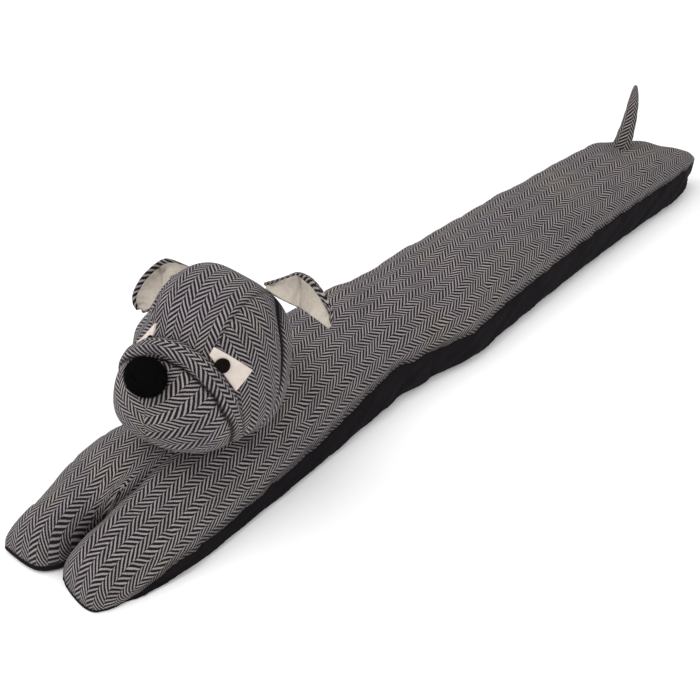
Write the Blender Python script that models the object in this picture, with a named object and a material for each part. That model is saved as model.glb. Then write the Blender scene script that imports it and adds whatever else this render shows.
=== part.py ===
# Draught excluder in the shape of a dog lying on its belly, head and paws towards +X.
# Units are metres. +Z is up, and +Y is the dog's left.

import bmesh
import bpy
import numpy as np
from mathutils import Matrix, Vector

for old in list(bpy.data.objects):
    bpy.data.objects.remove(old, do_unlink=True)

# Driving sizes
SEAM_GAP = 0.0003
CUT_CLEARANCE = 0.0004
BODY_ROWS = 72
END_CROWDING = 0.72
TAIL_END_ROUNDING = 0.034
PAW_END_ROUNDING = 0.036
LEG_START_X = 0.300
LEG_FULL_X = 0.392
CROWN_POWER = 2.5
LEG_CROWN_POWER = 2.2
GROOVE_FLOOR = 0.32
NOTCH = 0.126
SIDE_WALL_START = 0.80
CHIN_RECEDE = 0.55
HEAD_SETTLE = 0.014
LUMP_HEIGHT = 0.0013

# Station along the body: x, left edge, right edge, seam height, top of the crown, side bulge
BODY_TABLE = (
    (-0.500, 0.0450, -0.0500, 0.0330, 0.0580, 0.0040),
    (-0.456, 0.0485, -0.0535, 0.0350, 0.0640, 0.0060),
    (-0.381, 0.0480, -0.0565, 0.0370, 0.0695, 0.0060),
    (-0.286, 0.0475, -0.0610, 0.0380, 0.0725, 0.0060),
    (-0.177, 0.0495, -0.0670, 0.0360, 0.0740, 0.0060),
    (-0.098, 0.0515, -0.0700, 0.0330, 0.0750, 0.0070),
    (-0.036, 0.0545, -0.0720, 0.0310, 0.0745, 0.0060),
    (0.011, 0.0460, -0.0745, 0.0330, 0.0740, 0.0060),
    (0.040, 0.0435, -0.0780, 0.0350, 0.0730, 0.0070),
    (0.060, 0.0395, -0.0800, 0.0360, 0.0725, 0.0080),
    (0.080, 0.0405, -0.0805, 0.0340, 0.0735, 0.0090),
    (0.114, 0.0425, -0.0820, 0.0270, 0.0755, 0.0100),
    (0.171, 0.0470, -0.0830, 0.0190, 0.0755, 0.0100),
    (0.232, 0.0520, -0.0830, 0.0170, 0.0725, 0.0080),
    (0.286, 0.0590, -0.0810, 0.0150, 0.0680, 0.0050),
    (0.335, 0.0635, -0.0785, 0.0130, 0.0630, 0.0025),
    (0.368, 0.0630, -0.0755, 0.0115, 0.0585, 0.0020),
    (0.405, 0.0575, -0.0730, 0.0100, 0.0535, 0.0015),
)
# Side wall of the lower panel, from the flat underside up to the seam: width share, height share
SIDE_WALL = ((0.950, 0.000), (1.030, 0.000), (1.000, 0.500), (1.000, 1.000))
# Tail end outline: place across the body (right edge is -1, left edge is 1), x
TAIL_END = (
    (-1.00, -0.3720), (-0.93, -0.3940), (-0.83, -0.4110), (-0.66, -0.4280), (-0.45, -0.4420),
    (-0.25, -0.4550), (0.00, -0.4660), (0.20, -0.4730), (0.42, -0.4830), (0.65, -0.4930),
    (0.84, -0.4970), (0.93, -0.4940), (1.00, -0.4820),
)
# Paw end outline: place across the body, x
PAW_END = (
    (-1.000, 0.4000), (-0.960, 0.4160), (-0.900, 0.4290), (-0.780, 0.4375), (-0.600, 0.4425),
    (-0.360, 0.4430), (-0.150, 0.4400), (-0.040, 0.4340), (0.040, 0.4240), (0.095, 0.4120),
    (0.126, 0.4040), (0.150, 0.4140), (0.190, 0.4270), (0.270, 0.4335), (0.400, 0.4360),
    (0.560, 0.4370), (0.720, 0.4370), (0.830, 0.4320), (0.920, 0.4200), (0.965, 0.4090),
    (1.000, 0.3960),
)
ACROSS = np.array([
    -1.0, -0.985, -0.95, -0.90, -0.82, -0.70, -0.56, -0.42, -0.28, -0.14, -0.04, 0.04, 0.095,
    0.126, 0.15, 0.19, 0.27, 0.38, 0.50, 0.63, 0.75, 0.85, 0.92, 0.965, 0.99, 1.0,
])

# Head: place of its middle, and the turn to the dog's left, the lift and the tilt in degrees
HEAD_PLACE = (0.2585, -0.0112, 0.1373)
HEAD_TURN = 14.0
HEAD_LIFT = 12.0
HEAD_TILT = 3.0
# Rounded forms of the head: middle, half sizes (forward, left, up) and roundness power
FACE_FORM = ((0.000, 0.002, 0.001), (0.060, 0.060, 0.076), 2.25)
BACK_FORM = ((-0.024, 0.001, -0.006), (0.034, 0.064, 0.064), 2.3)
MUZZLE_FORM = ((0.038, 0.000, -0.020), (0.050, 0.051, 0.052), 2.15)
NOSE_FORM = ((0.083, -0.0045, 0.019), (0.015, 0.0170, 0.0165), 2.0)
# Wrinkle fold round the top of the muzzle, right half mirrored: forward, side, up, half width
FOLD_PATH = (
    (0.0610, 0.0000, 0.0340, 0.0085),
    (0.0590, 0.0130, 0.0320, 0.0085),
    (0.0560, 0.0250, 0.0260, 0.0085),
    (0.0510, 0.0370, 0.0140, 0.0085),
    (0.0440, 0.0460, -0.0040, 0.0090),
    (0.0330, 0.0500, -0.0240, 0.0095),
    (0.0220, 0.0480, -0.0440, 0.0090),
    (0.0160, 0.0420, -0.0580, 0.0065),
)
FOLD_RINGS = 34
# Corners of an eye patch on the face: inner top, outer top, outer bottom, inner bottom
EYE_CORNERS = (
    (0.040, 0.026, 0.040), (0.023, 0.056, 0.019), (0.036, 0.052, -0.002), (0.050, 0.024, 0.028),
)
EYE_PATCH_THICKNESS = 0.0014
PUPIL_PLACE = (0.044, 0.0385, 0.0255)
PUPIL_RADIUS = 0.0062
PUPIL_THICKNESS = 0.0016
EAR_CLOTH = 0.0020
EAR_LINING = 0.0012
# Ear from root to tip, as one edge and the other: forward, side, up, forward, side, up
EAR_LEFT = (
    (-0.0360, 0.0250, 0.0560, -0.0320, 0.0400, 0.0480),
    (-0.0350, 0.0360, 0.0690, -0.0290, 0.0480, 0.0560),
    (-0.0340, 0.0490, 0.0790, -0.0300, 0.0570, 0.0560),
    (-0.0360, 0.0590, 0.0820, -0.0370, 0.0630, 0.0550),
    (-0.0330, 0.0720, 0.0770, -0.0300, 0.0720, 0.0500),
    (-0.0310, 0.0830, 0.0670, -0.0260, 0.0790, 0.0450),
    (-0.0290, 0.0910, 0.0560, -0.0250, 0.0830, 0.0420),
    (-0.0280, 0.0930, 0.0450, -0.0260, 0.0880, 0.0415),
)
EAR_RIGHT = (
    (-0.0300, -0.0250, 0.0600, -0.0160, -0.0470, 0.0470),
    (-0.0260, -0.0370, 0.0660, -0.0130, -0.0520, 0.0430),
    (-0.0200, -0.0480, 0.0670, -0.0120, -0.0560, 0.0400),
    (-0.0180, -0.0560, 0.0650, -0.0160, -0.0590, 0.0370),
    (-0.0140, -0.0670, 0.0550, -0.0110, -0.0610, 0.0280),
    (-0.0110, -0.0760, 0.0420, -0.0070, -0.0640, 0.0190),
    (-0.0100, -0.0820, 0.0280, -0.0060, -0.0690, 0.0120),
    (-0.0100, -0.0810, 0.0170, -0.0070, -0.0750, 0.0110),
)
# Tail: foot on the body, lean of the tip from it, half sizes along and across the body
TAIL_FOOT = (-0.405, -0.010, 0.060)
TAIL_LEAN = (-0.003, 0.004, 0.090)
TAIL_HALF = (0.0065, 0.0105)


def smoothTable(at, knots, values):
    """Cubic curve through a table, level slopes taken from neighbouring knots."""
    knots = np.asarray(knots, float)
    values = np.asarray(values, float)
    slopes = np.gradient(values, knots)
    at = np.clip(np.asarray(at, float), knots[0], knots[-1])
    i = np.clip(np.searchsorted(knots, at) - 1, 0, len(knots) - 2)
    span = knots[i + 1] - knots[i]
    s = (at - knots[i]) / span
    rise = s * s * (3 - 2 * s)
    return (values[i] * (1 - rise) + values[i + 1] * rise
            + span * slopes[i] * s * (1 - s) ** 2
            - span * slopes[i + 1] * s * s * (1 - s))


def easeStep(at, low, high):
    s = np.clip((at - low) / (high - low), 0, 1)
    return s * s * (3 - 2 * s)


def gridTriangles(a, b, c, d):
    """Two triangles for each four-cornered cell, always split the same way."""
    first = np.stack([a, b, c], axis=-1).reshape(-1, 3)
    second = np.stack([a, c, d], axis=-1).reshape(-1, 3)
    return np.concatenate([first, second]).tolist()


def meshObject(name, points, faces, material):
    mesh = bpy.data.meshes.new(name)
    mesh.from_pydata([tuple(p) for p in points], [], faces)
    mesh.validate()
    obj = bpy.data.objects.new(name, mesh)
    bpy.context.scene.collection.objects.link(obj)
    if material is not None:
        mesh.materials.append(material)
    return obj


def plainMaterial(name, colour, roughness):
    material = bpy.data.materials.new(name)
    material.use_nodes = True
    shader = material.node_tree.nodes["Principled BSDF"]
    shader.inputs["Base Color"].default_value = (*colour, 1.0)
    shader.inputs["Roughness"].default_value = roughness
    shader.inputs["Metallic"].default_value = 0.0
    return material


TWEED = plainMaterial("herringbone wool cloth", (0.16, 0.155, 0.16), 0.95)
BLACK_COTTON = plainMaterial("black cotton cloth", (0.012, 0.011, 0.013), 0.9)
CREAM_COTTON = plainMaterial("cream cotton cloth", (0.72, 0.66, 0.55), 0.9)
CREAM_FELT = plainMaterial("cream felt", (0.78, 0.72, 0.62), 0.95)
BLACK_FELT = plainMaterial("black felt", (0.015, 0.014, 0.014), 0.95)
BLACK_PLUSH = plainMaterial("black plush", (0.006, 0.006, 0.006), 1.0)


def sideWall(place):
    """Cubic curve from the flat underside to the seam, by share of the way across."""
    s = np.clip((place - SIDE_WALL_START) / (1 - SIDE_WALL_START), 0, 1)[..., None]
    a, b, c, d = np.array(SIDE_WALL)
    curve = a * (1 - s) ** 3 + 3 * b * s * (1 - s) ** 2 + 3 * c * s * s * (1 - s) + d * s ** 3
    inside = place / SIDE_WALL_START * a[0]
    return np.where(s[..., 0] > 0, curve[..., 0], inside), curve[..., 1]


# Body: a sheet of rows along the body and columns across it, crowned above or below the seam
def bodySheet(upper, grow):
    table = np.array(BODY_TABLE)
    s = np.linspace(0, 1, BODY_ROWS + 1)
    t = s - END_CROWDING * np.sin(2 * np.pi * s) / (2 * np.pi)
    tail = smoothTable(ACROSS, *np.array(TAIL_END).T)
    paws = smoothTable(ACROSS, *np.array(PAW_END).T)
    x = tail[None, :] * (1 - t[:, None]) + paws[None, :] * t[:, None]
    left, right, seam, top = (smoothTable(x, table[:, 0], table[:, k]) for k in (1, 2, 3, 4))
    v = np.broadcast_to(ACROSS, x.shape)
    y = (left + right) / 2 + v * (left - right) / 2
    legs = easeStep(x, LEG_START_X, LEG_FULL_X)
    lobe = np.where(v > NOTCH, (2 * v - 1 - NOTCH) / (1 - NOTCH), (2 * v + 1 - NOTCH) / (1 + NOTCH))
    wide = np.clip(1 - np.abs(v) ** CROWN_POWER, 0, 1) ** 0.5
    paired = np.clip(1 - np.abs(lobe) ** LEG_CROWN_POWER, GROOVE_FLOOR ** 2, 1) ** 0.5
    across = wide * (1 - legs) + np.minimum(wide, paired) * legs
    fromTail = np.clip((x - tail[None, :]) / TAIL_END_ROUNDING, 0, 1)
    fromPaws = np.clip((paws[None, :] - x) / PAW_END_ROUNDING, 0, 1)
    ends = np.sqrt(1 - (1 - fromTail) ** 2) * np.sqrt(1 - (1 - fromPaws) ** 2)
    if upper:
        lumps = LUMP_HEIGHT * (np.sin(46 * x + 25 * y) + np.sin(71 * x - 63 * y + 1.3))
        z = seam + (top + lumps - seam) * across * ends + grow
        z += SEAM_GAP / 2
    else:
        share, height = sideWall(np.abs(v))
        endShare, endHeight = sideWall(np.maximum(1 - fromTail * 0.2, 1 - fromPaws * 0.2))
        spread = smoothTable(x, table[:, 0], table[:, 5]) * np.sin(np.pi * height ** 0.6)
        y = (left + right) / 2 + np.sign(v) * (share * (left - right) / 2 + spread)
        z = (seam - SEAM_GAP / 2) * np.maximum(height, endHeight)
    outward = np.where(v > 0, 1, -1) * (np.abs(v) ** 6) * grow
    rim = seam + (SEAM_GAP / 2 if upper else -SEAM_GAP / 2)
    return np.stack([x, y + outward, z], axis=2), rim


def bodyHalf(name, upper, material, grow=0.0):
    sheet, rim = bodySheet(upper, grow)
    rows, columns = sheet.shape[:2]
    edge = np.zeros((rows, columns), bool)
    edge[[0, -1], :] = True
    edge[:, [0, -1]] = True
    sheet[edge, 2] = rim[edge] - (grow if upper else 0)
    index = np.arange(rows * columns).reshape(rows, columns)
    a, b, c, d = index[:-1, :-1], index[1:, :-1], index[1:, 1:], index[:-1, 1:]
    # Two corner cells are split the other way, or all three corners of a triangle would be on the rim
    corner = np.zeros(a.shape, bool)
    corner[0, -1] = corner[-1, 0] = True
    faces = gridTriangles(a[~corner], b[~corner], c[~corner], d[~corner])
    faces += gridTriangles(d[corner], a[corner], b[corner], c[corner])
    # The seam side is closed with one strip per row and two fans at each end
    right, left = index[:, 0], index[:, -1]
    faces += gridTriangles(right[1:-2], left[1:-2], left[2:-1], right[2:-1])
    notch = int(np.argmin(np.abs(ACROSS - NOTCH)))
    for end, inner in ((0, 1), (-1, -2)):
        edgeRow = index[end].tolist()
        corners = [int(right[inner]), int(left[inner])]
        for k in range(columns - 1):
            faces.append([corners[k >= notch], edgeRow[k + 1], edgeRow[k]])
        faces.append([*corners, edgeRow[notch]])
    if not upper:
        faces = [list(reversed(face)) for face in faces]
    return meshObject(name, sheet.reshape(-1, 3), faces, material)


# Head parts are made in the head's own directions (forward, left, up), then placed by this matrix
def headMatrix():
    turn = Matrix.Rotation(np.radians(HEAD_TURN), 4, "Z")
    lift = Matrix.Rotation(np.radians(-HEAD_LIFT), 4, "Y")
    tilt = Matrix.Rotation(np.radians(HEAD_TILT), 4, "X")
    return Matrix.Translation(HEAD_PLACE) @ turn @ lift @ tilt


def roundedPoints(directions, form, grow=0.0):
    middle, half, power = form
    half = np.array(half) + grow
    size = (np.abs(directions / half) ** power).sum(axis=-1) ** (-1 / power)
    return np.array(middle) + directions * size[..., None]


def settled(points, form):
    """The lower half of a form made fuller, as it is pressed onto the body below it."""
    middle, half, _ = form
    depth = np.clip((middle[2] - points[..., 2]) / half[2], 0, None)
    out = points.copy()
    out[..., 2] -= HEAD_SETTLE * depth ** 2
    return out


# The face is the rounded form with fuller cheeks, a brow over each eye and a hollow below it
def facePoints(directions, grow=0.0):
    points = settled(roundedPoints(directions, FACE_FORM, grow), FACE_FORM)
    forward, side, up = np.moveaxis(directions, -1, 0)
    side = np.abs(side)

    def bump(at, width):
        apart = (forward - at[0]) ** 2 + (side - at[1]) ** 2 + (up - at[2]) ** 2
        return np.exp(-apart / width ** 2)

    swell = 0.0040 * bump((0.10, 0.90, -0.42), 0.40)
    swell += 0.0035 * bump((0.55, 0.42, 0.72), 0.26)
    swell -= 0.0030 * bump((0.72, 0.60, 0.32), 0.24)
    return points + directions * swell[..., None]


def backPoints(directions, grow=0.0):
    return settled(roundedPoints(directions, BACK_FORM, grow), BACK_FORM)


def muzzlePoints(directions, grow=0.0):
    """The muzzle form, its lower half drawn back to the neck."""
    points = settled(roundedPoints(directions, MUZZLE_FORM, grow), MUZZLE_FORM)
    below = np.clip(MUZZLE_FORM[0][2] - points[..., 2], 0, None)
    points[..., 0] -= CHIN_RECEDE * np.minimum(below, MUZZLE_FORM[1][2]) ** 2 / MUZZLE_FORM[1][2]
    return points


def closedForm(name, shape, rows, columns, material):
    """A closed form with its poles at the head's left and right."""
    polar = np.linspace(0, np.pi, rows + 1)[1:-1]
    around = np.arange(columns) * 2 * np.pi / columns
    p, a = np.meshgrid(polar, around, indexing="ij")
    directions = np.stack([np.sin(p) * np.cos(a), np.cos(p), np.sin(p) * np.sin(a)], axis=2)
    poles = np.array([[0.0, 1.0, 0.0], [0.0, -1.0, 0.0]])
    points = np.concatenate([shape(directions).reshape(-1, 3), shape(poles)])
    count = (rows - 1) * columns
    index = np.arange(count).reshape(rows - 1, columns)
    following = np.roll(index, -1, axis=1)
    faces = gridTriangles(index[:-1], following[:-1], following[1:], index[1:])
    faces += [[count, following[0, k], index[0, k]] for k in range(columns)]
    faces += [[count + 1, index[-1, k], following[-1, k]] for k in range(columns)]
    return meshObject(name, points, faces, material)


# A tube with rounded ends along a path of points, half widths and a squash of its second axis
def tube(name, path, halves, squash, sideways, sides, material):
    path = np.asarray(path, float)
    tangent = np.gradient(path, axis=0)
    tangent /= np.linalg.norm(tangent, axis=1)[:, None]
    across = sideways - (sideways * tangent).sum(1)[:, None] * tangent
    across /= np.linalg.norm(across, axis=1)[:, None]
    out = np.cross(tangent, across)
    turn = np.arange(sides) * 2 * np.pi / sides
    ring = (np.cos(turn)[None, :, None] * across[:, None, :] * halves[:, None, None]
            + np.sin(turn)[None, :, None] * out[:, None, :] * (halves * squash)[:, None, None])
    points = (path[:, None, :] + ring).reshape(-1, 3)
    index = np.arange(len(path) * sides).reshape(len(path), sides)
    following = np.roll(index, -1, axis=1)
    faces = gridTriangles(index[:-1], following[:-1], following[1:], index[1:])
    faces.append(index[0][::-1].tolist())
    faces.append(index[-1].tolist())
    return meshObject(name, points, faces, material)


def sheetSolid(name, lower, upper, material):
    """A closed sheet between two grids of the same size."""
    rows, columns = lower.shape[:2]
    low = np.arange(rows * columns).reshape(rows, columns)
    high = low + rows * columns
    points = np.concatenate([lower.reshape(-1, 3), upper.reshape(-1, 3)])

    faces = gridTriangles(high[:-1, :-1], high[1:, :-1], high[1:, 1:], high[:-1, 1:])
    faces += gridTriangles(low[:-1, :-1], low[:-1, 1:], low[1:, 1:], low[1:, :-1])
    ring = np.concatenate([low[:-1, 0], low[-1, :-1], low[:0:-1, -1], low[0, :0:-1]])
    lift = rows * columns
    for p, q in zip(ring, np.roll(ring, -1)):
        faces.append([int(p), int(q), int(q) + lift, int(p) + lift])
    return meshObject(name, points, faces, material)


def turnOutward(obj):
    work = bmesh.new()
    work.from_mesh(obj.data)
    bmesh.ops.recalc_face_normals(work, faces=work.faces)
    if work.calc_volume(signed=True) < 0:
        bmesh.ops.reverse_faces(work, faces=work.faces)
    work.to_mesh(obj.data)
    work.free()


def cutBy(obj, cutters):
    for cutter in cutters:
        modifier = obj.modifiers.new("less " + cutter.name, "BOOLEAN")
        modifier.operation = "DIFFERENCE"
        modifier.solver = "EXACT"
        modifier.object = cutter


def asCutter(obj):
    obj.hide_render = True
    obj.display_type = "WIRE"
    return obj


head = headMatrix()

# Body panels
bodyTop = bodyHalf("body_top", True, TWEED)
bodyBase = bodyHalf("body_base", False, BLACK_COTTON)
bodyCutter = asCutter(bodyHalf("cut_body", True, None, CUT_CLEARANCE))

# Face, back of the head and muzzle
face = closedForm("head_face", facePoints, 24, 40, TWEED)
faceCutter = asCutter(closedForm("cut_face", lambda d: facePoints(d, CUT_CLEARANCE), 24, 40, None))
back = closedForm("head_back", backPoints, 16, 30, TWEED)
muzzle = closedForm("muzzle", muzzlePoints, 22, 40, TWEED)
muzzleCutter = asCutter(closedForm(
    "cut_muzzle", lambda d: muzzlePoints(d, CUT_CLEARANCE), 22, 40, None))


# Wrinkle fold
def foldPath(grow):
    half = np.array(FOLD_PATH)
    mirrored = half[:0:-1] * (1, -1, 1, 1)
    knots = np.concatenate([mirrored, half])
    at = np.linspace(0, len(knots) - 1, FOLD_RINGS)
    path = np.stack([smoothTable(at, np.arange(len(knots)), knots[:, k]) for k in range(4)], axis=1)
    taper = np.sqrt(np.clip(1 - np.abs(np.linspace(-1, 1, FOLD_RINGS)) ** 14, 0.08, 1))
    return path[:, :3], path[:, 3] * taper + grow


def foldTube(name, grow, material):
    path, halves = foldPath(grow)
    outward = path - np.array(MUZZLE_FORM[0])
    outward /= np.linalg.norm(outward, axis=1)[:, None]
    return tube(name, path, halves, 1.0, outward, 12, material)


fold = foldTube("wrinkle_fold", 0.0, TWEED)
foldCutter = asCutter(foldTube("cut_fold", CUT_CLEARANCE, None))
nose = closedForm("nose", lambda d: roundedPoints(d, NOSE_FORM), 14, 24, BLACK_PLUSH)


# Eye patches and pupils lie on the face form, a seam gap above it
def facePatch(corners, rows, columns, lift):
    middle = np.array(FACE_FORM[0])
    a, b, c, d = (np.array(corner) - middle for corner in corners)
    u = np.linspace(0, 1, rows)[:, None, None]
    w = np.linspace(0, 1, columns)[None, :, None]
    spread = a * (1 - u) * (1 - w) + b * (1 - u) * w + c * u * w + d * u * (1 - w)
    directions = spread / np.linalg.norm(spread, axis=2)[..., None]
    return facePoints(directions, lift)


def eyePatch(name, side):
    corners = [(f, side * l, u) for f, l, u in EYE_CORNERS]
    low = facePatch(corners, 8, 12, CUT_CLEARANCE + SEAM_GAP / 2)
    high = facePatch(corners, 8, 12, CUT_CLEARANCE + EYE_PATCH_THICKNESS)
    return sheetSolid(name, low, high, CREAM_FELT)


def pupil(name, side, grow, material):
    middle = np.array(FACE_FORM[0])
    centre = np.array(PUPIL_PLACE) * (1, side, 1) - middle
    outward = centre / np.linalg.norm(centre)
    flat = np.cross(outward, (0.0, 0.0, 1.0))
    flat /= np.linalg.norm(flat)
    other = np.cross(flat, outward)
    around = np.arange(24) * 2 * np.pi / 24
    stack = []
    base = CUT_CLEARANCE + EYE_PATCH_THICKNESS + SEAM_GAP - grow
    top = base + PUPIL_THICKNESS + 2 * grow
    for radius, lift in ((1.0, base), (1.0, (base + top) / 2), (0.86, top), (0.45, top + 0.0004)):
        reach = (PUPIL_RADIUS + grow) * radius
        ring = centre + reach * (np.cos(around)[:, None] * flat + np.sin(around)[:, None] * other)
        directions = ring / np.linalg.norm(ring, axis=1)[:, None]
        stack.append(facePoints(directions, lift))
    points = np.concatenate(stack)
    index = np.arange(4 * 24).reshape(4, 24)
    following = np.roll(index, -1, axis=1)
    faces = gridTriangles(index[:-1], following[:-1], following[1:], index[1:])
    faces.append(index[0][::-1].tolist())
    faces.append(index[-1].tolist())
    return meshObject(name, points, faces, material)


patches = [eyePatch("eye_patch_left", 1), eyePatch("eye_patch_right", -1)]
pupils = [pupil("pupil_left", 1, 0.0, BLACK_FELT), pupil("pupil_right", -1, 0.0, BLACK_FELT)]
pupilCutters = [asCutter(pupil("cut_pupil_left", 1, CUT_CLEARANCE, None)),
                asCutter(pupil("cut_pupil_right", -1, CUT_CLEARANCE, None))]


# Ears: a cloth sheet behind and a lining sheet in front, both along the same table
def earGrid(table, rows, columns):
    table = np.array(table)
    at = np.linspace(0, len(table) - 1, rows)
    ends = np.stack([smoothTable(at, np.arange(len(table)), table[:, k]) for k in range(6)], axis=1)
    w = np.linspace(0, 1, columns)[None, :, None]
    grid = ends[:, None, :3] * (1 - w) + ends[:, None, 3:] * w
    # The sheet is cupped: its middle lies behind its edges
    grid[..., 0] -= 0.004 * np.sin(np.pi * w[..., 0])
    along, cross = np.gradient(grid, axis=0), np.gradient(grid, axis=1)
    normal = np.cross(along, cross)
    normal /= np.linalg.norm(normal, axis=2)[..., None]
    normal *= np.sign(normal[..., :1].mean())
    return grid, normal


def ear(name, table, near, far, material):
    grid, normal = earGrid(table, 17, 7)
    return sheetSolid(name, grid + normal * near, grid + normal * far, material)


earPieces = [
    ear("ear_left", EAR_LEFT, -EAR_CLOTH, 0.0, TWEED),
    ear("ear_right", EAR_RIGHT, -EAR_CLOTH, 0.0, TWEED),
    ear("ear_lining_left", EAR_LEFT, SEAM_GAP, SEAM_GAP + EAR_LINING, CREAM_COTTON),
    ear("ear_lining_right", EAR_RIGHT, SEAM_GAP, SEAM_GAP + EAR_LINING, CREAM_COTTON),
]

# Tail: a flattened cone that stands on the body
tailSteps = np.linspace(0, 1, 16)
tailBow = np.stack([0 * tailSteps, 0.003 * np.sin(np.pi * tailSteps), 0 * tailSteps], axis=1)
tailPath = np.array(TAIL_FOOT) + tailSteps[:, None] * np.array(TAIL_LEAN) + tailBow
tailHalves = TAIL_HALF[1] * (1 - 0.62 * tailSteps) * np.sqrt(np.clip(1 - tailSteps ** 10, 0.04, 1))
tail = tube("tail", tailPath, tailHalves, TAIL_HALF[0] / TAIL_HALF[1],
            np.array([[0.0, 1.0, 0.0]]), 16, TWEED)

headPieces = [face, faceCutter, back, muzzle, muzzleCutter, fold, foldCutter, nose,
              *patches, *pupils, *pupilCutters, *earPieces]
for piece in headPieces:
    piece.matrix_world = head
for piece in [bodyTop, bodyBase, bodyCutter, tail, *headPieces]:
    turnOutward(piece)

cutBy(face, [bodyCutter])
cutBy(back, [bodyCutter, faceCutter])
cutBy(muzzle, [bodyCutter, faceCutter])
cutBy(fold, [bodyCutter, faceCutter, muzzleCutter, *pupilCutters])
cutBy(nose, [muzzleCutter, foldCutter, faceCutter])
for patch in patches:
    cutBy(patch, [foldCutter, muzzleCutter])
backCutter = asCutter(closedForm(
    "cut_back", lambda d: backPoints(d, CUT_CLEARANCE), 16, 30, None))
backCutter.matrix_world = head
turnOutward(backCutter)
for piece in earPieces:
    cutBy(piece, [faceCutter, backCutter])
cutBy(tail, [bodyCutter])

# Everything moves together so that the object's own box stands centred on the origin
bpy.context.view_layer.update()
graph = bpy.context.evaluated_depsgraph_get()
low, high = np.full(3, 9.0), np.full(3, -9.0)
solids = [obj for obj in bpy.context.scene.collection.objects if not obj.hide_render]
for obj in solids:
    shape = obj.evaluated_get(graph).to_mesh()
    points = np.array([obj.matrix_world @ v.co for v in shape.vertices])
    low, high = np.minimum(low, points.min(0)), np.maximum(high, points.max(0))
    obj.evaluated_get(graph).to_mesh_clear()
shift = Vector((-(low[0] + high[0]) / 2, -(low[1] + high[1]) / 2, -low[2]))
for obj in bpy.context.scene.collection.objects:
    obj.matrix_world = Matrix.Translation(shift) @ obj.matrix_world
print("moved by", [round(s, 5) for s in shift], "box", [round(s, 4) for s in high - low])
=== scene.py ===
from functools import partial

import bpy
import numpy as np
from mathutils import Matrix, kdtree


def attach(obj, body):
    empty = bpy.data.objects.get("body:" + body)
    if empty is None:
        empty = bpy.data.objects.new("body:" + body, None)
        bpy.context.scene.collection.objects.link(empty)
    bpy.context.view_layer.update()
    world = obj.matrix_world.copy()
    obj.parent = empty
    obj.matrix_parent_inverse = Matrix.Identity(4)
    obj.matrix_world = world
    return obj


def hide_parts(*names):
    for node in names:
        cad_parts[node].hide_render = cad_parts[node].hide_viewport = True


# A stuffed dog that lies along a door: herringbone wool above, black cotton below.
# Metres; +X towards the paws, +Y the dog's left, +Z up.
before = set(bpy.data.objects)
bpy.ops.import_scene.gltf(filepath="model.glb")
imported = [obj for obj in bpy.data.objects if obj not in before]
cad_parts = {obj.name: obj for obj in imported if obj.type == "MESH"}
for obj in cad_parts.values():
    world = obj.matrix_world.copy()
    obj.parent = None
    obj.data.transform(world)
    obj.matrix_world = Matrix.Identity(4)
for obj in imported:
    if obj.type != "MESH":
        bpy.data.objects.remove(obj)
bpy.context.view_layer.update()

# The tables below are in the pattern maker's own frame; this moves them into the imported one
frameShift = np.array([0.02677, 0.01405, 0.0])

cloth = {
    "halfColumn": 0.0079,     # width of one arm of the herringbone
    "stroke": 0.0048,         # one light and one dark stroke, along the column
    "slope": 1.15,            # steepness of the strokes, against an even slant
    "thread": 0.00055,        # one yarn
    "cottonThread": 0.0007,   # real cotton is half as coarse, which would not show
    "drift": 0.0022,          # how far the columns wander
    "dark": "181518",
    "light": "958D91",
    "lightWarm": "958E8B",
}


# Shared sums
def smoothTable(at, knots, values):
    # cubic curve through a table, its slopes taken from the neighbouring knots
    knots, values = np.asarray(knots, float), np.asarray(values, float)
    slopes = np.gradient(values, knots)
    at = np.clip(np.asarray(at, float), knots[0], knots[-1])
    i = np.clip(np.searchsorted(knots, at) - 1, 0, len(knots) - 2)
    span = knots[i + 1] - knots[i]
    s = (at - knots[i]) / span
    rise = s * s * (3 - 2 * s)
    return (values[i] * (1 - rise) + values[i + 1] * rise
            + span * slopes[i] * s * (1 - s) ** 2
            - span * slopes[i + 1] * s * s * (1 - s))


def easeStep(at, low, high):
    # 0 below low, 1 above high, and a smooth cubic between
    s = np.clip((at - low) / (high - low), 0, 1)
    return s * s * (3 - 2 * s)


def ripple(at, waves):
    # sum of sines, each given by wavelength, share and phase
    return sum(share * np.sin(2 * np.pi * at / length + phase) for length, share, phase in waves)


def hump(at, middle, width):
    # bell curve, 1 at its middle
    return np.exp(-((at - middle) / width) ** 2)


def unit(vectors):
    # each vector divided by its own length
    return vectors / np.linalg.norm(vectors, axis=-1, keepdims=True)


def steps(points, axis=0):
    # distances between neighbouring points
    return np.linalg.norm(np.diff(points, axis=axis), axis=-1)


def runningSum(parts):
    # sums along the last axis, starting from zero
    return np.concatenate([np.zeros((*parts.shape[:-1], 1)), np.cumsum(parts, axis=-1)], axis=-1)


def linearColour(code):
    # sRGB hex to linear light
    parts = np.array([int(code[k:k + 2], 16) for k in (0, 2, 4)]) / 255
    linear = np.where(parts <= 0.04045, parts / 12.92, ((parts + 0.055) / 1.055) ** 2.4)
    return (*linear.tolist(), 1.0)


def quads(rows, columns, closed=False):
    # corner numbers of the cells of a grid, the last column joined to the first if closed
    index = np.arange(rows * columns).reshape(rows, columns)
    after = np.roll(index, -1, axis=1)
    if not closed:
        index, after = index[:, :-1], after[:, :-1]
    return np.stack([index[:-1], index[1:], after[1:], after[:-1]], axis=-1).reshape(-1, 4)


def tubeFaces(rings, sides):
    # the cells of a closed tube and its two end faces
    end = np.arange(sides)
    return [quads(rings, sides, closed=True)[:, ::-1], end[None, ::-1], (rings - 1) * sides + end[None, :]]


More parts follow.
